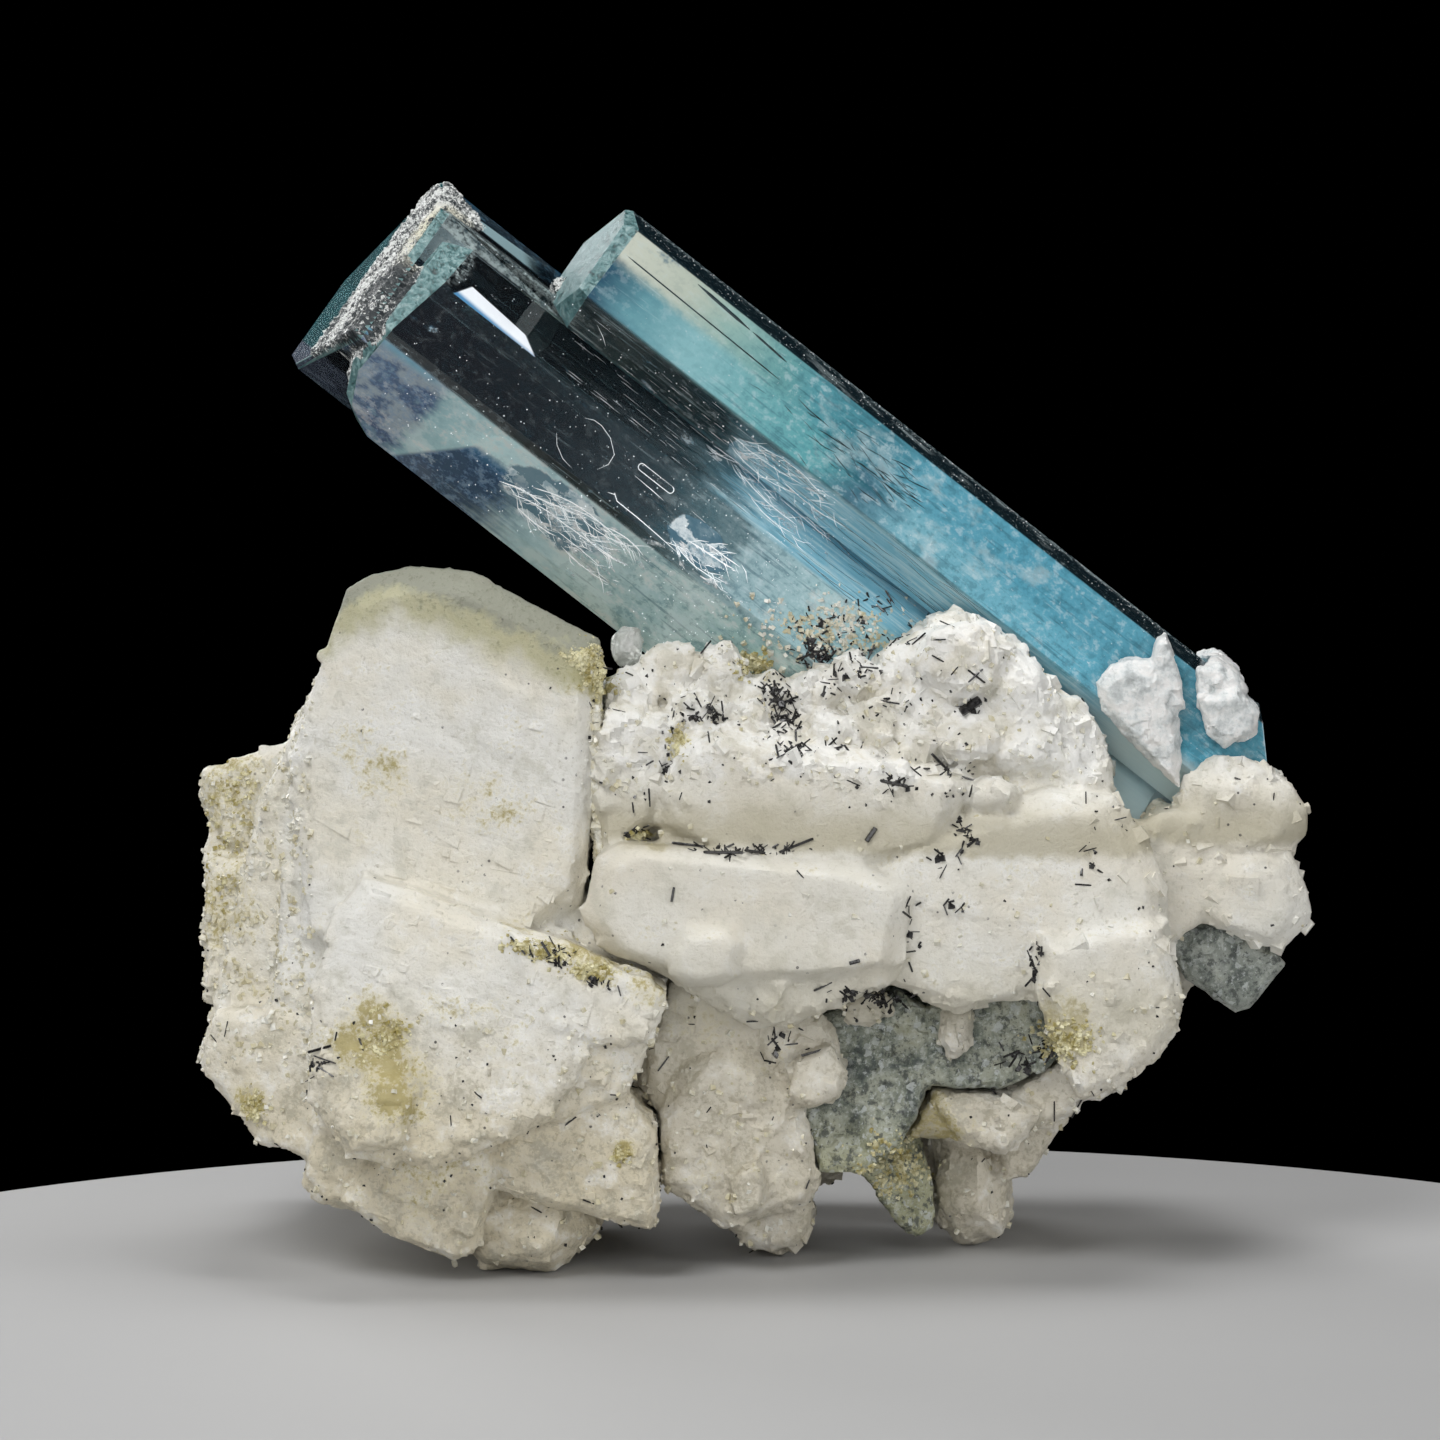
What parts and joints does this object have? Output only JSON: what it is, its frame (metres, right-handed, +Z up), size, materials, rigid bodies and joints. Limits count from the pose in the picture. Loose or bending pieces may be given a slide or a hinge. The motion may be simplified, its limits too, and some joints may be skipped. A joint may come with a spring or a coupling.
{
  "type": "aquamarine crystal",
  "caption": "Blue aquamarine prisms grown together side by side and slanting up through a loose white matrix of feldspar, albite and quartz, on which the specimen stands.",
  "frame": {"origin": "centre of the bounding box's base, on the surface that the specimen stands on", "axes": "+Z up, -Y towards the show side that the crystal faces, +X to the right with the crystal's broken root; the tips point up and to -X"},
  "size_m": [0.061, 0.0334, 0.0585],
  "materials": {
    "aquamarine": "glassy crystal faces, clear to milky, with sugary broken ends",
    "feldspar": "satin white stone with pearly cleavage faces",
    "albite": "satin white stone, grainy and sugary in places",
    "smoky_quartz": "rough grey translucent quartz with a sparkling grain",
    "clear_quartz": "greasy translucent quartz"
  },
  "bodies": {
    "root": {"aquamarine": "aquamarine", "feldspar_blocks": "feldspar", "albite_mass": "albite", "albite_bud": "albite", "albite_knob": "albite", "smoky_quartz": "smoky_quartz", "quartz_point": "clear_quartz", "quartz_grain": "clear_quartz"}
  },
  "joints": []
}
